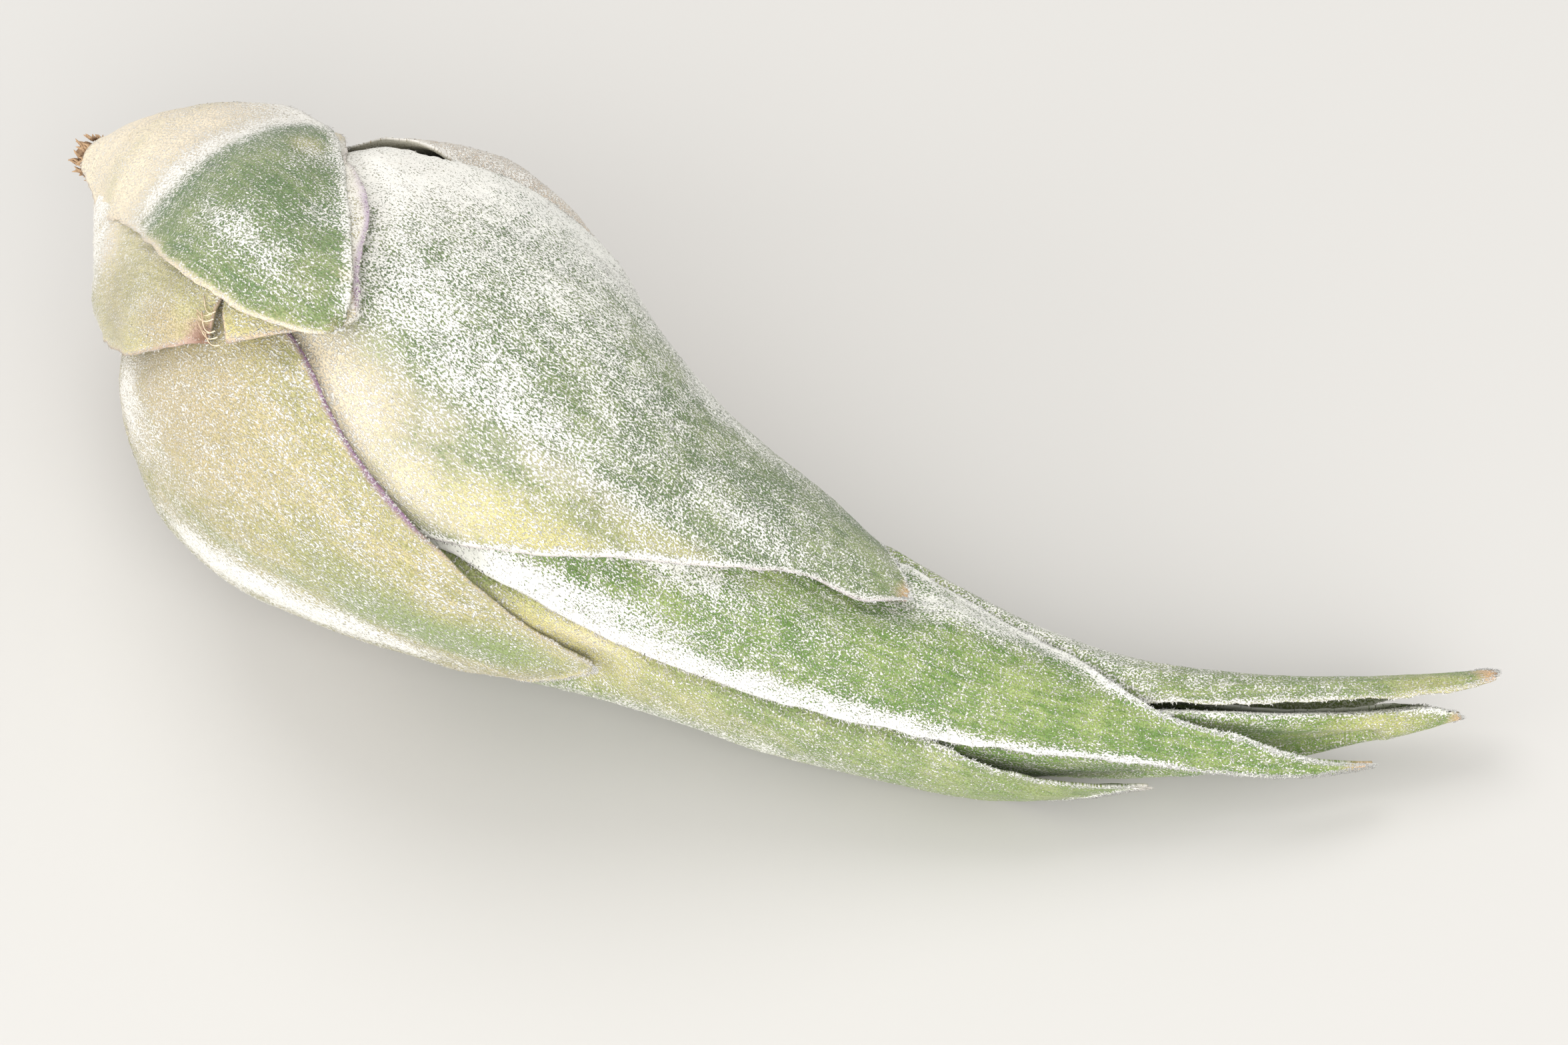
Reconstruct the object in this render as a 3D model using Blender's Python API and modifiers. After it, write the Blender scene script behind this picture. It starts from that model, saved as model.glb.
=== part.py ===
"""A bulbous air plant lying on its side: a short stem wrapped in eleven overlapping leaves.

Every leaf is an open sheet bent round one curved centre line and thickened inwards.
Leaves are listed from the outside in; each one lies under the leaves before it.
"""

import bpy
import bmesh
import numpy as np
from mathutils import Vector

MM = 0.001
WALL = 0.9         # thickness of a leaf in its middle
STEP = 1.7         # from the outside of one leaf to the outside of the next one in
PRESS = 0.8        # how far the head leaves press the bulb leaves in
EASE = 10.0        # how fast a leaf rises again past the edge of the leaf over it
EDGE = 0.42        # thickness left at margins and tips, as a share of WALL
MARGIN_BAND = 0.3  # how far in from a margin a leaf reaches its full thickness, as a share of half its width
TIP_BAND = 0.08    # the same at the tip, as a share of its length
LEAF_ROUGH = 0.8
STEM_ROUGH = 0.9

# centre line, from the cut end of the stem to the leaf tips: x, y, z in mm
LINE = [(-83, 49, 25), (-75, 42, 26), (-66, 33, 27), (-54, 18, 28), (-43, 6, 28.6),
        (-29, -5, 26), (-13, -12, 20.5), (2, -17, 15.4), (17, -21, 11.7), (34, -24, 9.2),
        (52, -24, 8.1), (66, -22, 7.8), (79, -19, 8)]

# outside of the bulb and neck: station along the centre line, radius, in mm
GIRTH = [(0, 0.6), (4, 2.7), (8, 5.4), (12, 8.2), (17, 11.2), (23.5, 14.2), (32, 18.6), (38, 22.4),
         (42.6, 24.9), (50, 27.7), (58.8, 28.5), (68, 27.0), (77, 24.0), (86, 20.6), (95, 17.6),
         (112, 13.8), (127.6, 11.3), (140, 9.0), (146, 7.6), (152, 6.4), (160, 5.2), (170, 4.2),
         (180, 3.3), (192, 2.4)]

# soft dips in that outside: station, angle, reach along, reach round in degrees, depth
DIPS = [(45, -62, 16, 50, 0.3), (34, -50, 12, 50, 1.6), (78, 128, 20, 50, 2.4),
        (100, 128, 14, 50, 0.9), (78, -50, 14, 40, -1.4), (105, -50, 12, 45, -0.8),
        (62, 180, 26, 32, 1.5)]

# stem: station, radius; and the stations where its rod has a ring of vertices
STEM = [(-2.5, 1.2), (-1.6, 1.7), (2, 1.9), (6, 2.6), (10, 3.1), (30, 3.1), (35, 2.6), (36.5, 1.6)]
STEM_RINGS = [-2.5, -1.6, 0, 2, 6, 10, 16, 22, 28, 32, 35, 36.5]

# leaves: rows of station, first margin, second margin (degrees from the top, towards -Y), stand-off
LEAVES = {
    "cap_leaf": dict(rise=2.6, cells=(11, 17), colour=(0.22, 0.36, 0.17), rows=[
        (2, -75, 70, -0.8), (6, -70, 66, 0), (14, -56, 59, 0.4), (20, -46, 52, 0.9),
        (26, -36, 45, 1.6), (33, -27, 40, 1.9), (41, -18, 37, 1.8), (47, -11, 36, 1.3),
        (51.6, -4, 35, 1.0), (55.6, 3, 34, 0.6), (59.6, 12, 31, 0.3), (62.8, 21, 27, 0.1)]),
    "helmet_leaf": dict(rise=0.9, cells=(15, 17), colour=(0.42, 0.44, 0.22), rows=[
        (6, -105, 156, 0), (12, -95, 145, 0.3), (20, -80, 118, 0.9), (26, -60, 98, 1.6),
        (30, -47, 88, 1.9), (34, -36, 80, 1.8), (38, -28, 72, 1.5), (43, -19, 64, 1.0),
        (47.5, -12, 56, 0.6), (51.5, -8, 48, 0.3), (55.5, -3, 41, 0.1), (59.5, 7, 31, 0),
        (63, 18, 23, 0)]),
    "base_sheath": dict(rise=0.9, cells=(7, 9), colour=(0.42, 0.33, 0.22), rows=[
        (6, 168, 245, 0), (12, 166, 254, 0), (20, 162, 256, 0.2), (28, 168, 248, 0.6),
        (35, 184, 232, 0.9), (39, 200, 214, 1.0)]),
    "dry_leaf": dict(rise=0, cells=(15, 17), colour=(0.52, 0.45, 0.34), rows=[
        (8.5, -225, -30, 0), (18, -215, -28, 0), (36, -205, -30, 0.6), (44, -200, -30, 1.0),
        (50, -195, -32, 1.0), (56, -188, -38, 0.7), (62, -180, -47, 0.4), (68, -168, -58, 0.2),
        (76, -150, -75, 0), (84, -126, -98, 0), (87, -115, -105, 0)]),
    "left_leaf": dict(rise=0, cells=(17, 17), colour=(0.50, 0.50, 0.33), rows=[
        (11, -18, 247, 0), (20, 0, 235, 0), (40, 20, 215, 0), (50, 27, 205, 0), (58, 31, 195, 0),
        (61, 33, 190, 0), (68, 45, 175, 0), (76, 56, 152, 0.1), (80, 64, 138, 0.3),
        (86, 75, 114, 0.7), (90, 80, 99, 1.1), (93, 84, 90, 1.4)]),
    "right_leaf": dict(rise=0, cells=(16, 21), colour=(0.62, 0.66, 0.56), rows=[
        (14, -150, 90, 0), (24, -142, 85, 0), (45, -132, 76, 0), (60, -126, 67, 0),
        (70, -122, 61, 0), (76, -118, 57, 0), (80, -114, 52, 0), (88, -106, 41, 0),
        (98, -93, 27, 0), (104, -83, 17, 0), (107, -78, 11, 0), (110, -70, 9, 0),
        (115, -52, 8, 0.1), (118.5, -34, 5, 0.2), (121.5, -14, -3, 0.3)]),
    "centre_leaf": dict(rise=0, cells=(14, 30), colour=(0.40, 0.52, 0.26), rows=[
        (17, -110, 95, 0), (40, -100, 85, 0), (60, -90, 72, 0), (76, -80, 61, 0), (82, -75, 62, 0),
        (90, -68, 67, 0), (99, -60, 71, 0), (108, -52, 71, 0), (120, -42, 69, 0), (128, -34, 68, 0),
        (135, -27, 67, 0), (142, -16, 68, 0.2), (149, 10, 72, 0.5), (152, 23, 76, 0.8),
        (160, 42, 90, 1.5), (169, 76, 106, 2.2), (176, 100, 110, 2.6)]),
    "lower_leaf": dict(rise=0, cells=(12, 22), colour=(0.45, 0.55, 0.22), rows=[
        (22, 55, 250, 0), (50, 58, 235, 0), (76, 60, 215, 0), (92, 62, 205, 0), (101, 64, 195, 0),
        (109, 66, 185, 0), (117, 68, 176, 0), (125, 70, 168, 0.3), (132, 75, 160, 0.8),
        (136, 80, 152, 1.0), (142, 89, 137, 1.2), (147, 97, 122, 1.3), (152, 103, 108, 1.4)]),
    "upper_leaf": dict(rise=0, cells=(12, 28), colour=(0.38, 0.50, 0.26), rows=[
        (28, -170, 20, 0), (60, -160, 20, 0), (90, -150, 20, 0), (121, -140, 16, 0),
        (135, -135, 13, 0), (145, -132, 10, 0.4), (152, -135, 9, 0.9), (160, -140, 10, 1.2),
        (170, -140, 10, 1.1), (180, -125, 14, 0.8), (187, -95, 16, 0.5), (192, -45, 0, 0.4)]),
    "end_leaf": dict(rise=0, cells=(15, 30), colour=(0.36, 0.50, 0.22), rows=[
        (32, 70, 215, -0.5), (70, 50, 215, -0.5), (110, 30, 225, -0.2), (135, 15, 260, 0),
        (150, 14, 300, -0.1), (158, 15, 322, -0.4), (168, 15, 328, -0.8), (176, 19, 310, -0.7),
        (182, 34, 250, -0.5), (187, 72, 140, -0.4)]),
    "heart_leaf": dict(rise=0, cells=(9, 20), colour=(0.50, 0.58, 0.30), rows=[
        (38, -50, 120, -1.2), (80, -30, 125, -1.2), (110, 0, 135, -0.4), (130, 30, 140, 0),
        (142, 62, 125, 0), (150, 90, 104, 0)]),
}
HEAD = ["cap_leaf", "helmet_leaf", "base_sheath"]
STEM_COLOUR = (0.30, 0.20, 0.12)


def table(rows, column, at):
    """Smooth curve through one column of rows; it never overshoots between them."""
    xs = np.array([row[0] for row in rows], float)
    ys = np.array([row[column] for row in rows], float)
    at = np.clip(at, xs[0], xs[-1])
    gap = np.diff(xs)
    rise = np.diff(ys) / gap
    before, after = rise[:-1], rise[1:]
    same = before * after > 0
    slope = np.zeros(len(xs))
    slope[0], slope[-1] = rise[0], rise[-1]
    slope[1:-1] = np.where(same, 2 * before * after / np.where(same, before + after, 1), 0)
    i = np.clip(np.searchsorted(xs, at) - 1, 0, len(gap) - 1)
    u = (at - xs[i]) / gap[i]
    return ((1 + 2 * u) * (1 - u) ** 2 * ys[i] + u * (1 - u) ** 2 * gap[i] * slope[i]
            + u * u * (3 - 2 * u) * ys[i + 1] + u * u * (u - 1) * gap[i] * slope[i + 1])


def centre_line(points, count=600):
    """Natural cubic through the points, as a dense run with stations and a frame at each."""
    pts = np.array(points, float)
    knot = np.concatenate([[0], np.cumsum(np.linalg.norm(np.diff(pts, axis=0), axis=1))])
    gap = np.diff(knot)
    n = len(knot)
    left = np.eye(n)
    right = np.zeros((n, 3))
    for k in range(1, n - 1):
        left[k, k - 1:k + 2] = gap[k - 1], 2 * (gap[k - 1] + gap[k]), gap[k]
        right[k] = 6 * ((pts[k + 1] - pts[k]) / gap[k] - (pts[k] - pts[k - 1]) / gap[k - 1])
    bend = np.linalg.solve(left, right)
    at = np.linspace(0, knot[-1], count)
    k = np.clip(np.searchsorted(knot, at) - 1, 0, n - 2)
    a = (knot[k + 1] - at)[:, None]
    b = (at - knot[k])[:, None]
    g = gap[k][:, None]
    run = ((bend[k] * a ** 3 + bend[k + 1] * b ** 3) / (6 * g)
           + (pts[k] / g - bend[k] * g / 6) * a + (pts[k + 1] / g - bend[k + 1] * g / 6) * b)
    station = np.concatenate([[0], np.cumsum(np.linalg.norm(np.diff(run, axis=0), axis=1))])
    along = np.gradient(run, station, axis=0)
    along /= np.linalg.norm(along, axis=1)[:, None]
    up = np.array([0, 0, 1.0]) - along[:, 2:] * along
    up /= np.linalg.norm(up, axis=1)[:, None]
    return station, run, along, up, np.cross(along, up)


STATION, RUN, ALONG, UP, SIDE = centre_line(LINE)


def place(s, angle, radius):
    """Point at a station, an angle round the centre line and a distance from it."""
    def pick(rows):
        return np.stack([np.interp(s, STATION, rows[:, k]) for k in range(3)], -1)
    past = np.clip(s - STATION[-1], 0, None)[..., None] + np.clip(s, None, 0)[..., None]
    turn = np.radians(angle)[..., None]
    spoke = np.cos(turn) * pick(UP) + np.sin(turn) * pick(SIDE)
    return pick(RUN) + past * pick(ALONG) + np.asarray(radius)[..., None] * spoke


def wrap(angle):
    return (angle + 180) % 360 - 180


def girth(s, angle):
    radius = table(GIRTH, 1, s)
    for station, middle, reach, spread, deep in DIPS:
        far = ((s - station) / reach) ** 2 + (wrap(angle - middle) / spread) ** 2
        radius = radius - deep * np.exp(-far)
    return radius


def cover(name, s, angle):
    """1 where a leaf lies over this place, easing to 0 just past its margins."""
    rows = LEAVES[name]["rows"]
    first, second = table(rows, 1, s), table(rows, 2, s)
    aside = np.abs(wrap(angle - (first + second) / 2)) - (second - first) / 2
    sideways = np.radians(np.maximum(aside, 0)) * girth(s, angle)
    beyond = np.maximum(s - rows[-1][0], 0) + np.maximum(rows[0][0] - s, 0)
    u = np.clip(1 - np.hypot(sideways, beyond) / EASE, 0, 1)
    return u * u * (3 - 2 * u)


def depth(name, s, angle):
    """How far a bulb leaf lies below the outside, under all leaves listed before it."""
    deep = np.zeros_like(s)
    if name in HEAD:
        return deep
    for other in LEAVES:
        if other == name:
            return deep
        if other != "cap_leaf":
            deep = deep + cover(other, s, angle) * (PRESS if other in HEAD else STEP)
    return deep


def leaf_surface(name, t, q):
    """Points on a leaf's outer face and just inside it; t runs base to tip, q from margin to margin."""
    leaf = LEAVES[name]
    rows = leaf["rows"]
    s = rows[0][0] + (rows[-1][0] - rows[0][0]) * t
    first, second = table(rows, 1, s), table(rows, 2, s)
    angle = (first + second) / 2 + q * (second - first) / 2
    radius = girth(s, angle) - depth(name, s, angle) + leaf["rise"] + table(rows, 3, s)
    return place(s, angle, radius), place(s, angle, radius - 1)


def collection(name):
    found = bpy.data.collections.new(name)
    bpy.context.scene.collection.children.link(found)
    return found


def material(name, colour, rough):
    made = bpy.data.materials.new(name)
    made.use_nodes = True
    shader = made.node_tree.nodes["Principled BSDF"]
    shader.inputs["Base Color"].default_value = (*colour, 1)
    shader.inputs["Roughness"].default_value = rough
    made.diffuse_color = (*colour, 1)
    return made


def add_leaf(name, home):
    """A flat grid bent to the leaf's outer face, then thickened inwards."""
    across, along = LEAVES[name]["cells"]
    work = bmesh.new()
    bmesh.ops.create_grid(work, x_segments=across, y_segments=along, size=1)
    work.verts.ensure_lookup_table()
    q = np.array([v.co.x for v in work.verts])
    t = np.array([(v.co.y + 1) / 2 for v in work.verts])
    outer, inward = leaf_surface(name, t, q)
    for vert, spot in zip(work.verts, outer):
        vert.co = Vector(spot) * MM
    work.normal_update()
    # thinner at margins and tip, and never thicker than WALL measured towards the centre line
    from_margin = np.minimum(1, (1 - np.abs(q)) / MARGIN_BAND)
    from_tip = np.minimum(1, (1 - t) / TIP_BAND)
    thin = EDGE + (1 - EDGE) * from_margin * from_tip
    slant = [abs(vert.normal.dot(Vector(a - b).normalized()))
             for vert, a, b in zip(work.verts, outer, inward)]
    mesh = bpy.data.meshes.new(name)
    work.to_mesh(mesh)
    work.free()
    leaf = bpy.data.objects.new(name, mesh)
    home.objects.link(leaf)
    group = leaf.vertex_groups.new(name="thickness")
    for k, weight in enumerate(thin * np.array(slant)):
        group.add([k], float(weight), "REPLACE")
    thicken = leaf.modifiers.new("leaf thickness", "SOLIDIFY")
    thicken.thickness = WALL * MM
    thicken.offset = -1
    thicken.vertex_group = group.name
    mesh.materials.append(material(name, LEAVES[name]["colour"], LEAF_ROUGH))
    return leaf


def add_stem(home):
    """The short woody stem all leaves sit on, a tapered rod along the centre line."""
    curve = bpy.data.curves.new("stem_run", "CURVE")
    curve.dimensions = "3D"
    curve.bevel_depth = MM
    curve.bevel_resolution = 3
    curve.use_fill_caps = True
    stops = np.array(STEM_RINGS)
    spots = place(stops, np.zeros(len(stops)), np.zeros(len(stops)))
    spline = curve.splines.new("POLY")
    spline.points.add(len(stops) - 1)
    for point, spot, radius in zip(spline.points, spots, table(STEM, 1, stops)):
        point.co = (*(spot * MM), 1)
        point.radius = radius
    rod = bpy.data.objects.new("stem_run", curve)
    home.objects.link(rod)
    bpy.context.view_layer.update()
    shape = bpy.data.meshes.new_from_object(rod.evaluated_get(bpy.context.evaluated_depsgraph_get()))
    bpy.data.objects.remove(rod)
    shape.name = "stem_base"
    stem = bpy.data.objects.new("stem_base", shape)
    home.objects.link(stem)
    clean = bmesh.new()
    clean.from_mesh(shape)
    bmesh.ops.remove_doubles(clean, verts=clean.verts, dist=0.01 * MM)
    bmesh.ops.recalc_face_normals(clean, faces=clean.faces)
    clean.to_mesh(shape)
    clean.free()
    shape.materials.clear()
    shape.materials.append(material("stem_base", STEM_COLOUR, STEM_ROUGH))
    return stem


def set_down(parts):
    """Stand the plant on z = 0 with the middle of its footprint at the origin."""
    bpy.context.view_layer.update()
    graph = bpy.context.evaluated_depsgraph_get()
    corners = []
    for part in parts:
        solid = part.evaluated_get(graph).to_mesh()
        corners += [vert.co.copy() for vert in solid.vertices]
        part.evaluated_get(graph).to_mesh_clear()
    low = [min(c[k] for c in corners) for k in range(3)]
    high = [max(c[k] for c in corners) for k in range(3)]
    shift = Vector((-(low[0] + high[0]) / 2, -(low[1] + high[1]) / 2, -low[2]))
    for part in parts:
        for vert in part.data.vertices:
            vert.co += shift
        part.data.update()
    print("shift", [round(v / MM, 3) for v in shift])
    print("size", [round((b - a) / MM, 2) for a, b in zip(low, high)])


for old in list(bpy.data.objects):
    bpy.data.objects.remove(old, do_unlink=True)
plant = collection("air_plant")
bodies = [add_stem(plant)] + [add_leaf(name, plant) for name in LEAVES]
set_down(bodies)
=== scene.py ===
import math

import bpy
import numpy as np
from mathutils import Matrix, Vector


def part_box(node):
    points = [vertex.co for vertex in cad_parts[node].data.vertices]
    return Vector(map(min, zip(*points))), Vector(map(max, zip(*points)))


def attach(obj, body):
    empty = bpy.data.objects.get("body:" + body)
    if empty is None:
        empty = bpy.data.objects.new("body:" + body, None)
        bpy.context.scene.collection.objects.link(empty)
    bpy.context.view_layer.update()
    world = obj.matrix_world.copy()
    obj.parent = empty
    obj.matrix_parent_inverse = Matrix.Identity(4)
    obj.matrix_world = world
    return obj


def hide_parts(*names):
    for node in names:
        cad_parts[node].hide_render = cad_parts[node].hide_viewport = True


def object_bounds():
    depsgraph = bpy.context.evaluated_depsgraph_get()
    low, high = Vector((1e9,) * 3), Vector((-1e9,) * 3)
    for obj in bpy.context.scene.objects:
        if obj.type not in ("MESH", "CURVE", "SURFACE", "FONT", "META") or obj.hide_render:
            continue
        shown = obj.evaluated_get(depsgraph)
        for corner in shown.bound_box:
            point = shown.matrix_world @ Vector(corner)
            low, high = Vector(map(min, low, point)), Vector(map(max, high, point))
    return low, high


mm = 0.001
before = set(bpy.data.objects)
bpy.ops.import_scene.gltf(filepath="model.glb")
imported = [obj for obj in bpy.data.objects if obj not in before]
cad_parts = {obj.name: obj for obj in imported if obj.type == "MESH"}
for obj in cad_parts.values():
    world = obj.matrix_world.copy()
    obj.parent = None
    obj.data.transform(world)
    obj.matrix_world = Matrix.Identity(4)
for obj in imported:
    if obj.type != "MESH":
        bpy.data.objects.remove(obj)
cadBox = [list(corner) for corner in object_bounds()]
print("frame loaded")

# the plant's form in mm and degrees; angles run round the centre line from the top towards -Y
# line: points the centre line passes; girth: station and radius
# dips: station, angle, reach along, spread round, how deep
plant = {
    "line": [(-83, 49, 25), (-75, 42, 26), (-66, 33, 27), (-54, 18, 28), (-43, 6, 28.6),
             (-29, -5, 26), (-13, -12, 20.5), (2, -17, 15.4), (17, -21, 11.7), (34, -24, 9.2),
             (52, -24, 8.1), (66, -22, 7.8), (79, -19, 8)],
    "girth": [(0, 0.6), (4, 2.7), (8, 5.4), (12, 8.2), (17, 11.2), (23.5, 14.2), (32, 18.6),
              (38, 22.4), (42.6, 24.9), (50, 27.7), (58.8, 28.5), (68, 27.0), (77, 24.0),
              (86, 20.6), (95, 17.6), (112, 13.8), (127.6, 11.3), (140, 9.0), (146, 7.6),
              (152, 6.4), (160, 5.2), (170, 4.2), (180, 3.3), (192, 2.4)],
    "dips": [(45, -62, 16, 50, 0.3), (34, -50, 12, 50, 1.6), (78, 128, 20, 50, 2.4),
             (100, 128, 14, 50, 0.9), (78, -50, 14, 40, -1.4), (105, -50, 12, 45, -0.8),
             (62, 180, 26, 32, 1.5)],
    "step": 1.7,       # from the outside of one leaf to the outside of the next one in
    "press": 0.8,      # how far the head leaves press the bulb leaves in
    "ease": 5.5,       # how fast a leaf rises again past the edge of the leaf over it
    "thick": 1.15,     # leaf thickness
    "cell": 0.62,      # mesh size on the leaves
    # margins pressed in; each has side, station, reach along, width and how far in
    "pressed": [(0, 80, 90, 3.2, 0.7), (1, 80, 90, 3.2, 0.7)],
    "lift": 0.15,      # how far a margin stands up
    "ragged": 0.24,    # how uneven a margin runs
    "uneven": 0.011,   # shared unevenness, as a share of the girth
}

# leaves from the outside in
# rows: station, first margin, second margin, stand-off
# paint: tint, station, angle, reach along, spread round, amount
# edges: tint, side, width, amount and, for a part of a margin, where it begins and stops
capLeaf = {
    "rise": 2.6, "seed": 3, "dark": (0.115, 0.195, 0.07), "light": (0.28, 0.34, 0.155),
    "rows": [(2, -75, 70, -0.8), (6, -70, 66, 0), (14, -56, 59, 0.4), (20, -46, 52, 0.9),
             (26, -36, 45, 1.6), (33, -27, 40, 1.9), (41, -18, 37, 1.8), (47, -11, 36, 1.3),
             (51.6, -4, 35, 1.0), (55.6, 3, 34, 0.6), (59.6, 12, 31, 0.3), (62.8, 21, 27, 0.1)],
    "base": {"felt": 0.27},
    "paint": [("cream", 7, 0, 15, 140, 1), ("yellow", 2, -30, 7, 40, 0.6), ("rose", 15, 0, 4, 60, 0.2),
              ("cream", 24, 0, 7, 120, 1), ("tan", 14, 10, 4, 40, 0.25), ("cream", 31, 4, 4, 60, 0.8),
              ("felt", 32.5, 6, 4.2, 60, 0.6), ("felt", 51, 21.5, 4.2, 4.5, 0.42),
              ("felt", 45, -6, 4, 5, 0.3), ("felt", 56, 23.5, 3, 3, 0.3), ("felt", 54, 6, 2.2, 3.5, 0.35),
              ("felt", 46.5, 23, 3, 3.5, 0.3), ("yellow", 43, -7, 4, 6, 0.6), ("yellow", 58, 22, 5, 8, 0.3),
              # the dark spot at station 46 is painted shade
              ("dark", 46, 9, 4, 6, 0.2), ("peach", 60.2, 15, 1.5, 2.2, 0.4),
              ("brown", 62.6, 24, 1.0, 4, 0.5)],
    "edges": [("felt", 0, 1.3, 0.55), ("cream", 0, 1.6, 0.4), ("cream", 1, 0.6, 0.9),
              ("felt", 0, 5, 0.5, 10, 38), ("rose", 1, 0.5, 0.35), ("yellow", 1, 1.8, 0.4)],
    "pressed": [(0, 48, 11, 7, 3.8), (1, 40, 25, 4, 0.9), (1, 12, 12, 5, 1.7)],
}
helmetLeaf = {
    "rise": 0.9, "seed": 5, "dark": (0.46, 0.43, 0.23), "light": (0.74, 0.67, 0.43),
    "rows": [(6, -105, 156, 0), (12, -95, 145, 0.3), (20, -80, 118, 0.9), (26, -60, 98, 1.6),
             (30, -47, 88, 1.9), (34, -36, 80, 1.8), (38, -28, 72, 1.5), (43, -19, 64, 1.0),
             (47.5, -12, 56, 0.6), (51.5, -8, 48, 0.3), (55.5, -3, 41, 0.1), (59.5, 7, 31, 0),
             (63, 18, 23, 0)],
    "tear": {"at": 54.6, "half": 0.55, "deep": 11.5, "lean": 0.4},
    "cell": 0.42,
    "swell": [(28, 82, 9, 26, 1.6), (46, 60, 5, 9, 0.6), (21, 98, 6, 16, 0.6)],
    "pressed": [(1, 9, 8, 6, 1.6), (1, 33, 10, 5.5, 2.5), (1, 50, 8, 3, 0.8), (0, 45, 10, 7, 2.1)],
    "base": {"felt": 0.30, "tan": 0.2},
    "paint": [("cream", 8, 60, 12, 160, 1), ("felt", 14, 80, 9, 160, 0.6), ("yellow", 5, 30, 8, 90, 0.6),
              ("cream", 24, 56, 8, 14, 0.75), ("cream", 24, 104, 9, 14, 0.7), ("felt", 22, 90, 7, 30, 0.5),
              ("tan", 36, 62, 8, 12, 0.4), ("tan", 48, 49, 4, 6, 0.9), ("yellow", 43, 60, 5, 5, 0.7),
              ("rose", 52.7, 44.5, 2.1, 4.6, 1), ("brown", 53, 44, 1.7, 3.4, 0.75),
              ("felt", 52, 45, 3, 6, -0.5), ("yellow", 57, 38, 3.5, 6, 0.9)],
    "edges": [("plum", 0, 1.2, 0.95, 49, 68), ("plum", 0, 0.6, 0.5, 38, 56), ("felt", 0, 3.5, 0.7, 36, 66),
              ("cream", 0, 3.5, 0.6), ("rose", 1, 0.5, 0.6), ("cream", 1, 0.9, 0.6),
              ("yellow", 1, 2.6, 0.5)],
}
baseSheath = {
    "rise": 0.9, "seed": 7, "dark": (0.34, 0.25, 0.16), "light": (0.62, 0.52, 0.38),
    "rows": [(5, 168, 245, 0), (12, 166, 254, 0), (20, 162, 256, 0.2), (28, 168, 248, 0.6),
             (35, 184, 232, 0.9), (39, 200, 214, 1.0)],
    "base": {"felt": 0.15, "brown": 0.45, "cream": 0.4},
    "paint": [("cream", 7, 205, 6, 90, 0.8)],
    "edges": [("brown", 0, 1.2, 0.7), ("brown", 1, 1.2, 0.7)],
}
dryLeaf = {
    "rise": 0, "seed": 11, "dark": (0.60, 0.51, 0.43), "light": (0.86, 0.76, 0.66),
    "rows": [(8.5, -225, -30, 0), (18, -215, -28, 0), (36, -205, -30, 0.6), (44, -200, -30, 1.0),
             (50, -195, -33, 1.0), (56, -188, -42, 0.7), (62, -180, -53, 0.4), (68, -168, -64, 0.2),
             (76, -150, -78, 0), (84, -126, -98, 0), (87, -115, -105, 0)],
    "base": {"felt": 0.26, "brown": 0.16, "cream": 0.42},
    "paint": [("felt", 50, -50, 25, 30, 0.4), ("brown", 82, -112, 8, 30, 0.8),
              ("cream", 12, -120, 12, 90, 0.8)],
    "edges": [("cream", 1, 2.5, 0.7), ("felt", 1, 2.0, 0.5), ("brown", 1, 0.4, 0.4),
              ("brown", 0, 1.0, 0.6)],
    "pressed": [(1, 57, 6, 4.5, 2.0), (1, 68, 11, 4.5, 2.4)], "ease": 2.5, "swell": [(48, -74, 6.5, 22, 1.5)],
}
leftLeaf = {
    "rise": 0, "seed": 13, "dark": (0.37, 0.36, 0.16), "light": (0.66, 0.56, 0.335),
    "rows": [(11, -18, 247, 0), (20, 0, 235, 0), (40, 20, 215, 0), (50, 27, 205, 0), (58, 31, 195, 0),
             (61, 33, 190, 0), (68, 45, 175, 0), (76, 56, 152, 0.1), (80, 64, 138, 0.3),
             (86, 75, 114, 0.7), (90, 80, 99, 1.1), (93, 84, 90, 1.4)],
    "base": {"felt": 0.34, "tan": 0.16},
    "paint": [("tan", 52, 58, 13, 24, 0.85), ("peach", 50, 62, 9, 14, 0.2), ("cream", 44, 76, 9, 16, 0.75),
              ("felt", 44, 76, 6.5, 9, 0.6), ("green", 49.2, 69.5, 1.4, 1.4, 1),
              ("green", 50.4, 72, 1.4, 1.3, 1), ("green", 51.9, 75.2, 1.5, 1.3, 0.9),
              ("green", 60, 86, 11, 2.6, 0.5), ("green", 72, 76, 9, 14, 0.45), ("green", 81, 88, 11, 11, 1),
              ("yellow", 56, 38, 4, 7, 0.6), ("yellow", 64, 62, 12, 24, 0.15),
              ("cream", 62, 97, 11, 7, 0.5), ("felt", 61, 98, 8.5, 6.5, 1), ("felt", 69, 102, 6, 6, 0.8),
              ("felt", 75, 106, 6, 5, 0.6), ("felt", 82, 86, 8, 9, -0.1), ("cream", 20, 110, 12, 160, 0.8),
              ("felt", 50, 125, 20, 18, 0.6), ("felt", 56, 170, 22, 40, 0.5)],
    "edges": [("plum", 0, 0.75, 0.78, 42, 80), ("rose", 0, 0.9, 0.4), ("cream", 0, 1.8, 0.3),
              ("cream", 1, 1.2, 0.5)],
    "pressed": [(0, 55, 30, 3.2, 0.7), (0, 88, 11, 4.5, 1.5), (1, 80, 90, 3.2, 0.7)],
}
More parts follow.
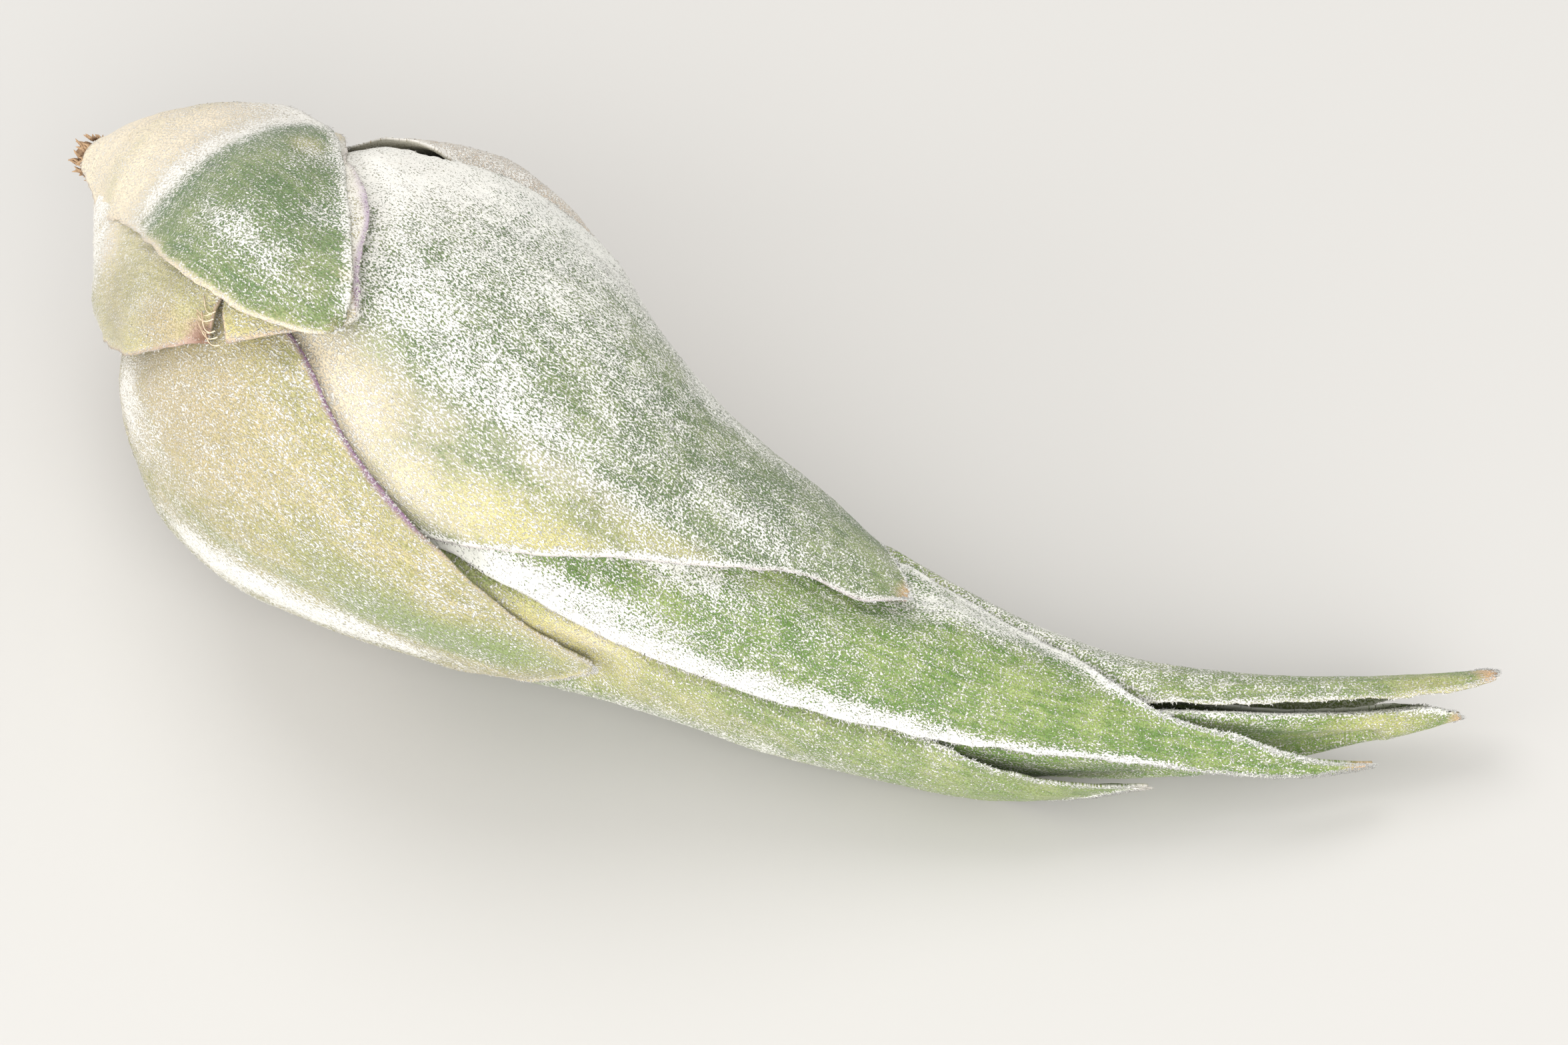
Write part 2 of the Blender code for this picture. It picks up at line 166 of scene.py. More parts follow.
rightLeaf = {
    "rise": 0, "seed": 17, "dark": (0.12, 0.185, 0.075), "light": (0.34, 0.40, 0.20),
    "rows": [(14, -150, 90, 0), (24, -142, 85, 0), (45, -132, 76, 0), (60, -126, 67, 0),
             (70, -122, 61, 0), (76, -118, 57, 0), (80, -114, 52, 0), (88, -106, 41, 0),
             (98, -93, 27, 0), (104, -83, 17, 0), (107, -78, 11, 0), (110, -70, 9, 0),
             (115, -52, 8, 0.1), (118.5, -31, 2, 0.2), (121.5, -13, -6, 0.3)],
    "base": {"felt": 0.36},
    "paint": [("cream", 50, -22, 15, 40, 0.6), ("felt", 50, -22, 13, 34, 0.85),
              ("felt", 62, -50, 15, 20, 0.7), ("felt", 80, -58, 22, 16, 0.6),
              ("felt", 96, -40, 14, 10, 0.3), ("felt", 66, 8, 9, 12, 0.35), ("felt", 72, -18, 8, 12, 0.3),
              ("felt", 76, 15, 7, 7, 0.3), ("cream", 83, 23, 10, 7, 0.45), ("felt", 88, 20, 12, 7, 0.25),
              ("cream", 62, 36, 13, 17, 0.9), ("tan", 66, 32, 11, 15, 0.45),
              ("yellow", 82, 44, 13, 12, 0.85), ("cream", 74, 50, 8, 10, 0.5),
              # the dark spot at station 100 is painted shade
              ("felt", 84, -10, 8, 10, 0.25), ("dark", 100, -24, 12, 4, 0.2), ("felt", 106, -8, 9, 16, 0.2),
              ("yellow", 95, 27, 12, 8, 0.6), ("felt", 100, 4, 14, 6, 0.3),
              ("peach", 122, -8, 2.2, 40, 0.85), ("felt", 112, -20, 14, 40, -0.15),
              ("felt", 70, -100, 40, 40, 0.5)],
    "edges": [("plum", 1, 0.22, 0.6), ("rose", 1, 0.5, 0.6), ("felt", 1, 0.7, 0.7, 50, 106),
              ("felt", 1, 0.5, 0.6), ("felt", 0, 0.6, 0.7)],
    "swell": [(56, -40, 7, 14, 0.4)],
}
centreLeaf = {
    "rise": 0, "seed": 19, "dark": (0.12, 0.22, 0.045), "light": (0.34, 0.42, 0.145),
    "rows": [(17, -110, 95, 0), (40, -100, 85, 0), (60, -90, 72, 0), (76, -80, 61, 0), (82, -75, 62, 0),
             (90, -68, 67, 0), (99, -60, 71, 0), (108, -52, 71, 0), (120, -42, 69, 0),
             (128, -34, 68, 0), (135, -27, 67, 0), (142, -16, 68, 0.2), (149, 10, 72, 0.5),
             (152, 23, 76, 0.8), (160, 42, 90, 1.5), (169, 76, 106, 2.2), (176, 100, 110, 2.6)],
    "base": {"felt": 0.36},
    "paint": [("felt", 150, 50, 26, 80, -0.2), ("felt", 81, 58, 7, 6, 0.9), ("felt", 91, 56, 7, 5, 0.6),
              ("felt", 92, 64, 9, 4.5, 0.5), ("felt", 106, 64, 10, 4, 0.5), ("felt", 122, 62, 12, 5, 0.5),
              ("cream", 92, 68, 14, 5, 0.7), ("yellow", 86, 66, 8, 6, 0.6), ("felt", 128, -14, 12, 14, 0.6),
              ("felt", 96, 32, 8, 8, 0.5), ("peach", 176, 105, 3.0, 60, 1),
              ("brown", 176.5, 105, 1.0, 60, 0.6), ("felt", 176, 105, 5, 60, -0.5)],
    "edges": [("felt", 0, 1.3, 0.95, 96, 152), ("felt", 1, 1.2, 0.85, 70, 116),
              ("felt", 1, 0.9, 0.85, 110, 158), ("cream", 1, 1.0, 0.4, 60, 110),
              ("rose", 1, 0.4, 0.5, 70, 112), ("felt", 0, 0.5, 0.5), ("felt", 1, 0.5, 0.5)],
    "ease": 2.5,
}
lowerLeaf = {
    "rise": 0, "seed": 23, "dark": (0.19, 0.27, 0.09), "light": (0.42, 0.46, 0.21),
    "rows": [(22, 55, 250, 0), (50, 58, 235, 0), (76, 60, 215, 0), (92, 62, 205, 0), (101, 64, 195, 0),
             (109, 66, 185, 0), (117, 68, 176, 0), (125, 70, 168, 0.3), (132, 75, 160, 0.8),
             (136, 80, 152, 1.0), (142, 89, 137, 1.2), (147, 97, 122, 1.3), (152, 103, 108, 1.4)],
    "base": {"felt": 0.30},
    "paint": [("felt", 142, 110, 14, 60, -0.25), ("green", 132, 108, 20, 30, 0.55),
              ("yellow", 88, 82, 12, 24, 0.9), ("yellow", 104, 95, 12, 20, 0.4),
              ("felt", 104, 120, 20, 20, 0.4), ("cream", 92, 74, 8, 8, 0.5),
              ("cream", 152, 105, 1.6, 60, 0.8), ("brown", 152, 105, 1.0, 60, 0.4)],
    "edges": [("felt", 0, 0.7, 0.4), ("felt", 1, 1.0, 0.6)],
}
upperLeaf = {
    "rise": 0, "seed": 29, "dark": (0.18, 0.27, 0.08), "light": (0.42, 0.47, 0.21),
    "rows": [(28, -170, 20, 0), (60, -160, 20, 0), (90, -150, 20, 0), (121, -140, 16, 0),
             (135, -135, 13, 0), (145, -132, 10, 0.4), (152, -135, 9, 0.9), (160, -140, 10, 1.2),
             (170, -140, 10, 1.1), (180, -125, 14, 0.8), (187, -95, 16, 0.5), (192, -45, 0, 0.4)],
    "base": {"felt": 0.40},
    "paint": [("felt", 140, -50, 14, 30, 0.4), ("yellow", 184, 0, 8, 60, 0.5),
              ("peach", 191.5, -20, 2.2, 80, 0.9), ("brown", 192.4, -20, 1.0, 80, 0.8),
              ("felt", 184, -20, 9, 80, -0.3)],
    "edges": [("felt", 1, 0.6, 0.35, 90, 178), ("felt", 0, 0.7, 0.5), ("cream", 1, 0.5, 0.5)],
    "pressed": [(0, 150, 90, 3.2, 0.5), (1, 150, 22, 3.0, 1.1)], "ease": 1.6,
}
endLeaf = {
    "rise": 0, "seed": 31, "dark": (0.14, 0.25, 0.05), "light": (0.34, 0.44, 0.13),
    "rows": [(32, 70, 215, -0.5), (70, 50, 215, -0.5), (110, 30, 225, -0.2), (135, 15, 260, 0),
             (150, 14, 300, -0.1), (158, 15, 322, -0.4), (168, 15, 328, -0.8), (176, 19, 310, -0.7),
             (182, 34, 250, -0.5), (187, 72, 140, -0.4)],
    "base": {"felt": 0.34, "yellow": 0.15},
    "paint": [("yellow", 178, 60, 9, 80, 0.5), ("peach", 187, 100, 1.8, 180, 0.8),
              # the dark patch at station 160 is painted shade
              ("felt", 170, 60, 16, 50, -0.1), ("dark", 160, 110, 12, 30, 0.3)],
    "edges": [("felt", 0, 0.8, 0.75), ("felt", 1, 1.0, 0.8)],
    "swell": [(162, 20, 16, 18, 1.9)],
}
heartLeaf = {
    "rise": 0, "seed": 37, "dark": (0.30, 0.36, 0.16), "light": (0.52, 0.56, 0.32),
    "rows": [(38, -50, 120, -1.2), (80, -30, 125, -1.2), (110, 0, 135, -0.4), (130, 30, 140, 0),
             (142, 62, 125, 0), (150, 90, 104, 0)],
    "base": {"felt": 0.35},
    "paint": [],
    "edges": [("felt", 0, 1.0, 0.8), ("felt", 1, 1.0, 0.8)],
}
leaves = {
    "cap_leaf": capLeaf, "helmet_leaf": helmetLeaf, "base_sheath": baseSheath, "dry_leaf": dryLeaf,
    "left_leaf": leftLeaf, "right_leaf": rightLeaf, "centre_leaf": centreLeaf, "lower_leaf": lowerLeaf,
    "upper_leaf": upperLeaf, "end_leaf": endLeaf, "heart_leaf": heartLeaf,
}
headLeaves = ["cap_leaf", "helmet_leaf", "base_sheath"]


def smooth(u):
    return u * u * (3 - 2 * u)


def table(rows, column, at):  # smooth curve through one column, never past its own values
    xs = np.array([row[0] for row in rows], float)
    ys = np.array([row[column] for row in rows], float)
    at = np.clip(at, xs[0], xs[-1])
    gap = np.diff(xs)
    rise = np.diff(ys) / gap
    before, after = rise[:-1], rise[1:]
    same = before * after > 0
    slope = np.zeros(len(xs))
    slope[0], slope[-1] = rise[0], rise[-1]
    slope[1:-1] = np.where(same, 2 * before * after / np.where(same, before + after, 1), 0)
    i = np.clip(np.searchsorted(xs, at) - 1, 0, len(gap) - 1)
    u = (at - xs[i]) / gap[i]
    return ((1 + 2 * u) * (1 - u) ** 2 * ys[i] + u * (1 - u) ** 2 * gap[i] * slope[i]
            + smooth(u) * ys[i + 1] + u * u * (u - 1) * gap[i] * slope[i + 1])


def centreLine(points, count=600):  # natural cubic as a dense run, with a frame at each station
    pts = np.array(points, float)
    knot = np.concatenate([[0], np.cumsum(np.linalg.norm(np.diff(pts, axis=0), axis=1))])
    gap = np.diff(knot)
    n = len(knot)
    left = np.eye(n)
    right = np.zeros((n, 3))
    for k in range(1, n - 1):
        left[k, k - 1:k + 2] = gap[k - 1], 2 * (gap[k - 1] + gap[k]), gap[k]
        right[k] = 6 * ((pts[k + 1] - pts[k]) / gap[k] - (pts[k] - pts[k - 1]) / gap[k - 1])
    bend = np.linalg.solve(left, right)
    at = np.linspace(0, knot[-1], count)
    k = np.clip(np.searchsorted(knot, at) - 1, 0, n - 2)
    a = (knot[k + 1] - at)[:, None]
    b = (at - knot[k])[:, None]
    g = gap[k][:, None]
    run = ((bend[k] * a ** 3 + bend[k + 1] * b ** 3) / (6 * g)
           + (pts[k] / g - bend[k] * g / 6) * a + (pts[k + 1] / g - bend[k + 1] * g / 6) * b)
    station = np.concatenate([[0], np.cumsum(np.linalg.norm(np.diff(run, axis=0), axis=1))])
    along = np.gradient(run, station, axis=0)
    along /= np.linalg.norm(along, axis=1)[:, None]
    up = np.array([0, 0, 1.0]) - along[:, 2:] * along
    up /= np.linalg.norm(up, axis=1)[:, None]
    return station, run, along, up, np.cross(along, up)


lineAt, lineRun, lineAlong, lineUp, lineSide = centreLine(plant["line"])


def place(s, angle, radius):
    def pick(rows):
        return np.stack([np.interp(s, lineAt, rows[:, k]) for k in range(3)], -1)
    past = np.clip(s - lineAt[-1], 0, None)[..., None] + np.clip(s, None, 0)[..., None]
    turn = np.radians(angle)[..., None]
    spoke = np.cos(turn) * pick(lineUp) + np.sin(turn) * pick(lineSide)
    return pick(lineRun) + past * pick(lineAlong) + radius[..., None] * spoke


def wrap(angle):
    return (angle + 180) % 360 - 180


def apart(s, angle, station, middle, reachAlong, spread):  # squared distance from a spot
    return ((s - station) / reachAlong) ** 2 + (wrap(angle - middle) / spread) ** 2


def girth(s, angle):
    radius = table(plant["girth"], 1, s)
    for *spot, deep in plant["dips"]:
        radius = radius - deep * np.exp(-apart(s, angle, *spot))
    turn = np.radians(angle)  # every leaf shares the unevenness, so none cuts into the next
    uneven = np.sin(2 * turn + s / 11) + 0.6 * np.sin(3 * turn - s / 7 + 1) + 0.4 * np.sin(5 * turn + s / 5)
    return radius + plant["uneven"] * radius * uneven


def margins(name, s, torn=False):
    leaf = leaves[name]
    first, second = table(leaf["rows"], 1, s), table(leaf["rows"], 2, s)
    if torn and "tear" in leaf:
        tear = leaf["tear"]
        second = second - tear["deep"] * np.clip(1 - np.abs(s - tear["at"]) / tear["half"], 0, 1) ** 0.6
    return first, second


def cover(name, s, angle, ease):  # 1 where a leaf lies over this place, 0 away from it
    rows = leaves[name]["rows"]
    first, second = margins(name, s)
    aside = np.abs(wrap(angle - (first + second) / 2)) - (second - first) / 2
    sideways = np.radians(np.maximum(aside, 0)) * girth(s, angle)
    beyond = np.maximum(s - rows[-1][0], 0) + np.maximum(rows[0][0] - s, 0)
    u = np.clip(1 - np.hypot(sideways, beyond) / min(ease, leaves[name].get("ease", ease)), 0, 1)
    return smooth(u)


def over(name):  # the leaves that lie over this one
    names = list(leaves)
    return names[:names.index(name)]


def depth(name, s, angle):
    deep = np.zeros_like(s)
    if name in headLeaves:
        return deep
    for other in over(name):
        if other != "cap_leaf":
            share = plant["press"] if other in headLeaves else plant["step"]
            deep = deep + cover(other, s, angle, plant["ease"]) * share
    return deep


def reach(name, s, angle):
    leaf = leaves[name]
    return girth(s, angle) - depth(name, s, angle) + leaf["rise"] + table(leaf["rows"], 3, s)


def designBox(name):
    rows = leaves[name]["rows"]
    s, q = np.meshgrid(np.linspace(rows[0][0], rows[-1][0], 60), np.linspace(-1, 1, 40), indexing="ij")
    first, second = margins(name, s)
    angle = (first + second) / 2 + q * (second - first) / 2
    spots = place(s, angle, reach(name, s, angle)).reshape(-1, 3)
    return spots.min(axis=0), spots.max(axis=0)


def findShift():  # from the design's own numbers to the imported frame
    gaps = []
    for name in leaves:
        low, high = designBox(name)
        lowCad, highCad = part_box(name)
        gaps.append((np.array(lowCad) + np.array(highCad)) / mm / 2 - (low + high) / 2)
    return np.mean(gaps, axis=0)


shift = findShift()
print("shift", [round(float(v), 2) for v in shift])


def noise(seed, x, y, cell):  # smooth value noise on a plane, -1 to 1
    rng = np.random.default_rng(seed)
    grid = rng.uniform(-1, 1, (256, 256))
    fx, fy = x / cell, y / cell
    ix, iy = np.floor(fx).astype(int), np.floor(fy).astype(int)
    ux, uy = fx - ix, fy - iy
    ux, uy = smooth(ux), smooth(uy)
    a, b = grid[ix % 256, iy % 256], grid[(ix + 1) % 256, iy % 256]
    c, d = grid[ix % 256, (iy + 1) % 256], grid[(ix + 1) % 256, (iy + 1) % 256]
    return (a * (1 - ux) + b * ux) * (1 - uy) + (c * (1 - ux) + d * ux) * uy


# tint names; the dark tint among them is painted shade
tints = ["felt", "green", "yellow", "cream", "tan", "peach", "rose", "plum", "brown", "dark"]


def paintOf(name, s, angle, fromFirst, fromSecond):  # how much of each tint shows at a place
    leaf = leaves[name]
    amounts = {tint: np.full(s.shape, float(leaf["base"].get(tint, 0))) for tint in tints}
    blur = 1 + 0.22 * noise(leaf["seed"], s, angle * 0.3, 2.6)
    for tint, *spot, amount in leaf["paint"]:
        far = apart(s, angle, *spot)
        amounts[tint] = 1 - (1 - amounts[tint]) * (1 - amount * np.exp(-far * blur))
    for tint, side, width, amount, *stretch in leaf["edges"]:
        away = fromSecond if side else fromFirst
        begin, stop = stretch or (-50, 300)
        amount = amount * np.clip((s - begin) / 6, 0, 1) * np.clip((stop - s) / 6, 0, 1)
        amounts[tint] = 1 - (1 - amounts[tint]) * (1 - amount * np.exp(-(away / width * blur) ** 2))
    for tint in tints:
        amounts[tint] = np.clip(amounts[tint], 0, 1)
    return amounts


def relief(name, s, across):  # fine parallel veins and soft lumps, in mm
    seed = leaves[name]["seed"]
    veins = 0.045 * np.sin(2 * math.pi * (across + 0.5 * noise(seed, s, across, 9)) / 1.7)
    return veins + 0.16 * noise(seed + 1, s * 0.35, across, 4.2) + 0.05 * noise(seed + 2, s, across, 1.3)


def leafGrid(name):  # everything about the outer face of a leaf, on a grid of stations and angles
    leaf = leaves[name]
    rows = leaf["rows"]
    start, end = rows[0][0], rows[-1][0]
    cell = leaf.get("cell", plant["cell"])
    many = int((end - start) / cell) + 2
    t = np.linspace(0, 1, many)
    first, second = margins(name, start + (end - start) * t)
    radius = table(plant["girth"], 1, start + (end - start) * t)
    wide = int(np.max(np.radians(second - first) * radius) / cell) + 2
    t, q = np.meshgrid(t, np.linspace(-1, 1, wide), indexing="ij")
    tipWidth = np.radians(rows[-1][2] - rows[-1][1]) * girth(np.array([float(end)]), np.array([0.0]))[0]
    near = np.clip(1 - (1 - t) * (end - start) / (1.6 * tipWidth + 0.8), 0, 1) ** 2
    s = start + (end - start) * t - 0.5 * tipWidth * (1 - np.sqrt(np.clip(1 - q * q, 0, 1))) * near
    first, second = margins(name, s, torn=True)
    half = (second - first) / 2
    angle = (first + second) / 2 + q * half
    tear = leaf.get("tear", {"at": 0, "lean": 0})
    inside = margins(name, s)[1] - angle
    s = s - tear["lean"] * inside * np.exp(-(inside / 16) ** 2 - ((s - tear["at"]) / 6) ** 2)
    around = np.degrees(1 / np.maximum(girth(s, angle), 2.0))  # degrees for one mm
    ragged = noise(leaf["seed"] + 5, s, q * 3, 3.1) + 0.5 * noise(leaf["seed"] + 6, s, q * 3, 0.9)
    narrow = np.clip(half / around / 3, 0, 1)  # tips stay whole
    angle = angle + np.sign(q) * np.abs(q) ** 12 * ragged * narrow * plant["ragged"] * around
    fromFirst = (q + 1) * half / around
    fromSecond = (1 - q) * half / around
    fromTip = end - s
    edge = np.minimum(np.minimum(fromFirst, fromSecond), fromTip)
    across = np.radians(angle) * table(plant["girth"], 1, s)
    lift = plant["lift"] * np.exp(-(edge / 0.9) ** 2)
    out = reach(name, s, angle) + relief(name, s, across) + lift
    for *spot, amount in leaf.get("swell", []):
        out = out + amount * np.exp(-apart(s, angle, *spot))
    for side, station, reachAlong, width, amount in leaf.get("pressed", plant["pressed"]):
        away = fromSecond if side else fromFirst
        out = out - amount * np.exp(-(away / width) ** 2 - ((s - station) / reachAlong) ** 2)
    spots = place(s, angle, out) + shift
    alongRow = np.gradient(spots, axis=0)
    alongCol = np.gradient(spots, axis=1)
    normal = np.cross(alongCol, alongRow)
    normal /= np.maximum(np.linalg.norm(normal, axis=-1), 1e-9)[..., None]
    thick = plant["thick"] * (0.3 + 0.7 * np.clip(edge / 3.2, 0, 1) ** 0.7)
    thick *= np.clip(np.abs(np.sum(normal * (place(s, angle, out + 1) - place(s, angle, out)), -1)), 0.3, 1)
    return {"t": t, "q": q, "s": s, "angle": angle, "across": across, "spots": spots, "normal": normal,
            "thick": thick, "fromFirst": fromFirst, "fromSecond": fromSecond, "fromTip": fromTip,
            "alongRow": alongRow, "alongCol": alongCol, "edge": edge}


def addObject(name, data):
    thing = bpy.data.objects.new(name, data)
    bpy.context.scene.collection.objects.link(thing)
    return thing


def meshObject(name, node, verts, faces, uv, values, finish):  # one visual piece of a node
    mesh = bpy.data.meshes.new(name)
    verts[:, 2] = np.maximum(verts[:, 2], cadBox[0][2] / mm)  # nothing goes through the floor
    sides = faces.shape[1]
    mesh.vertices.add(len(verts))
    mesh.vertices.foreach_set("co", np.ascontiguousarray(verts, np.float32).ravel() * mm)
    mesh.loops.add(faces.size)
    mesh.loops.foreach_set("vertex_index", faces.ravel().astype(np.int32))
    mesh.polygons.add(len(faces))
    mesh.polygons.foreach_set("loop_start", np.arange(0, faces.size, sides, dtype=np.int32))
    mesh.update(calc_edges=True)
    mesh.validate()
    layer = mesh.uv_layers.new(name="OFBake")
    layer.data.foreach_set("uv", np.ascontiguousarray(uv, np.float32).ravel())
    for key, amount in values.items():
        made = mesh.attributes.new(key, "FLOAT", "POINT")
        made.data.foreach_set("value", np.ascontiguousarray(amount, np.float32).ravel())
    mesh.materials.append(finish)
    thing = addObject(name, mesh)
    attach(thing, "root")
    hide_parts(node)
    return thing


def shadeSmooth(thing):
    thing.data.polygons.foreach_set("use_smooth", np.ones(len(thing.data.polygons), bool))


def buildLeaf(name, grid, finish):
    rowsCount, cols = grid["s"].shape
    total = rowsCount * cols
    outer = grid["spots"].reshape(-1, 3)
    inner = (grid["spots"] - grid["normal"] * grid["thick"][..., None]).reshape(-1, 3)
    index = np.arange(total).reshape(rowsCount, cols)
    top = np.stack([index[:-1, :-1], index[:-1, 1:], index[1:, 1:], index[1:, :-1]], -1).reshape(-1, 4)
    loop = np.concatenate([index[0, :-1], index[:-1, -1], index[-1, :0:-1], index[:0:-1, 0]])
    after = np.roll(loop, -1)
    rim = np.stack([after, loop, loop + total, after + total], -1)
    faces = np.concatenate([top, top[:, ::-1] + total, rim])
    u = (grid["q"].ravel() + 1) / 2
    v = grid["t"].ravel()
    uvTop = np.stack([0.02 + 0.45 * u, 0.02 + 0.96 * v], -1)
    uvUnder = np.stack([0.53 + 0.45 * u, 0.02 + 0.96 * v], -1)
    outward = uvTop + 0.012 * np.stack([np.sign(u - 0.5) * ((u == 0) | (u == 1)),
                                        np.sign(v - 0.5) * ((v == 0) | (v == 1))], -1)
    uvRim = np.stack([uvTop[after], uvTop[loop], outward[loop], outward[after]], 1)
    uv = np.concatenate([corners.reshape(-1, 2) for corners in (uvTop[top], uvUnder[top[:, ::-1]], uvRim)])
    tint = paintOf(name, grid["s"], grid["angle"], grid["fromFirst"], grid["fromSecond"])
    values = {"station": grid["s"], "across": grid["across"], "edge": grid["edge"], **tint}
    values = {key: np.concatenate([amount.ravel(), amount.ravel()]) for key, amount in values.items()}
    values["under"] = np.concatenate([np.zeros(total), np.ones(total)])
    thing = meshObject(name + "_skin", name, np.concatenate([outer, inner]), faces, uv, values, finish)
    shadeSmooth(thing)
    return thing


felt = {
    "perArea": 6.0, "most": 48000,           # scales for a square mm, and for a leaf
    "long": 0.32, "longRange": (0.55, 1.35),  # size in mm, and how it varies
    "wide": 0.11, "wideRange": (0.6, 1.4),
    "tilt": (0.03, 0.36),                    # how far a scale stands up
    "fringe": 4.0, "fringeWide": 0.9,        # more scales at the margins
    "cool": [(0.82, 0.83, 0.77), (0.94, 0.93, 0.90)], "warm": (0.90, 0.82, 0.70),
}


def buildFelt(name, grid, finish):  # the silvery scales, each a small closed sliver
    leaf = leaves[name]
    rng = np.random.default_rng(leaf["seed"] + 100)
    s, angle = grid["s"], grid["angle"]
    tint = paintOf(name, s, angle, grid["fromFirst"], grid["fromSecond"])
    shown = np.ones_like(s)
    for other in over(name):
        shown *= cover(other, s, angle, 0.01) < 0.5
    area = np.linalg.norm(np.cross(grid["alongRow"], grid["alongCol"]), axis=-1)
    clump = 0.35 + 1.3 * np.clip(noise(leaf["seed"] + 8, s, grid["across"], 1.7) + 0.35, 0, 1)
    bare = 1 - 0.75 * tint["cream"]
    wanted = area * shown * felt["perArea"] * np.clip(tint["felt"], 0, 1) ** 1.2 * clump * bare
    fringe = (grid["edge"] < plant["cell"]) * shown * felt["fringe"] * plant["cell"]
    count = rng.poisson(wanted + 0.35 * fringe)
    at = np.repeat(np.arange(s.size), count.ravel())
    if len(at) > felt["most"]:
        at = np.sort(rng.choice(at, felt["most"], replace=False))
    many = len(at)
    if many == 0:
        return 0

    def pick(values):
        return values.reshape(s.size, -1)[at]

    row, col = pick(grid["alongRow"]), pick(grid["alongCol"])
    up = pick(grid["normal"])
    root = pick(grid["spots"]) + rng.uniform(-0.5, 0.5, (many, 1)) * row
    root = root + rng.uniform(-0.5, 0.5, (many, 1)) * col
    row /= np.linalg.norm(row, axis=1)[:, None]
    side = np.cross(up, row)
    turn = rng.normal(0, 0.9, many)
    toEdge = (pick(grid["edge"])[:, 0] < felt["fringeWide"]) * (pick(grid["fromTip"])[:, 0] > 1)
    sign = np.where(pick(grid["q"])[:, 0] > 0, -1.0, 1.0)
    turn = np.where(toEdge > 0, sign * rng.normal(1.2, 0.45, many), turn)
    way = np.cos(turn)[:, None] * row + np.sin(turn)[:, None] * side
    wing = np.cross(up, way)
    length = felt["long"] * rng.uniform(*felt["longRange"], (many, 1))
    width = felt["wide"] * rng.uniform(*felt["wideRange"], (many, 1))
    rise = rng.uniform(*felt["tilt"], (many, 1))
    a = root - up * 0.05 - way * length * 0.25
    b = root - up * 0.03 + wing * width
    c = root - up * 0.03 - wing * width
    d = root + way * length * np.sqrt(1 - rise ** 2) + up * length * rise
    verts = np.stack([a, b, c, d], 1).reshape(-1, 3)
    base = np.arange(many)[:, None, None] * 4
    faces = (base + np.array([[0, 1, 2], [0, 3, 1], [1, 3, 2], [2, 3, 0]])[None]).reshape(-1, 3)
    shade = rng.uniform(0, 1, many)
    warm = np.clip(pick(tint["cream"])[:, 0] * 0.8 + rng.uniform(0, 0.25, many), 0, 1)
    corner = np.array([[0, 0], [0.02, 0], [0, 0.02]])
    uv = 0.01 + 0.95 * np.repeat(np.stack([shade, warm], -1), 4, axis=0)[:, None, :] + corner
    values = {"shade": np.repeat(shade, 4), "warm": np.repeat(warm, 4)}
    meshObject(name + "_felt", name, verts, faces, uv.reshape(-1, 2), values, finish)
    return many


class Wire:  # one socket of a material: arithmetic on it adds Math nodes
    def __init__(self, finish, socket):
        self.finish = finish
        self.socket = socket

    def math(self, operation, first, second):
        return self.finish.node("ShaderNodeMath", {"operation": operation}, {0: first, 1: second})

    def __add__(self, other):
        return self.math("ADD", self, other)

    def __sub__(self, other):
        return self.math("SUBTRACT", self, other)

    def __rsub__(self, other):
        return self.math("SUBTRACT", other, self)

    def __mul__(self, other):
        return self.math("MULTIPLY", self, other)

    __radd__ = __add__
    __rmul__ = __mul__

    def step(self, low, high):  # 0 at low, 1 at high, smooth between
        return self.finish.node("ShaderNodeMapRange", {"interpolation_type": "SMOOTHSTEP"},
                                {"Value": self, "From Min": low, "From Max": high})


class Finish:  # a material under construction
    def __init__(self, name):
        self.made = bpy.data.materials.new(name)
        self.made.use_nodes = True
        self.tree = self.made.node_tree
        self.shader = self.tree.nodes["Principled BSDF"]

    def node(self, kind, settings, links, out=0):
        made = self.tree.nodes.new(kind)
        for key, value in settings.items():
            setattr(made, key, value)
        for key, value in links.items():
            if isinstance(value, Wire):
                self.tree.links.new(value.socket, made.inputs[key])
            else:
                made.inputs[key].default_value = value
        return Wire(self, made.outputs[out])

    def attribute(self, name):
        return self.node("ShaderNodeAttribute", {"attribute_name": name}, {}, "Fac")

    def noise(self, vector, scale, detail=3.0, rough=0.55, bend=0.0):
        return self.node("ShaderNodeTexNoise", {}, {"Vector": vector, "Scale": scale, "Detail": detail,
                                                    "Roughness": rough, "Distortion": bend}, "Fac")

    def vector(self, x, y, z):
        return self.node("ShaderNodeCombineXYZ", {}, {0: x, 1: y, 2: z})

    def mix(self, first, second, share, blend="MIX"):
        first, second = [c if isinstance(c, Wire) else (*c, 1) for c in (first, second)]
        return self.node("ShaderNodeMix", {"data_type": "RGBA", "blend_type": blend},
                         {0: share, 6: first, 7: second}, 2)

    def set(self, name, value):
        if isinstance(value, Wire):
            self.tree.links.new(value.socket, self.shader.inputs[name])
        else:
            self.shader.inputs[name].default_value = value

    def bump(self, height, distance, strength=1.0):
        self.set("Normal", self.node("ShaderNodeBump", {}, {"Height": height, "Distance": distance * mm,
                                                            "Strength": strength}))


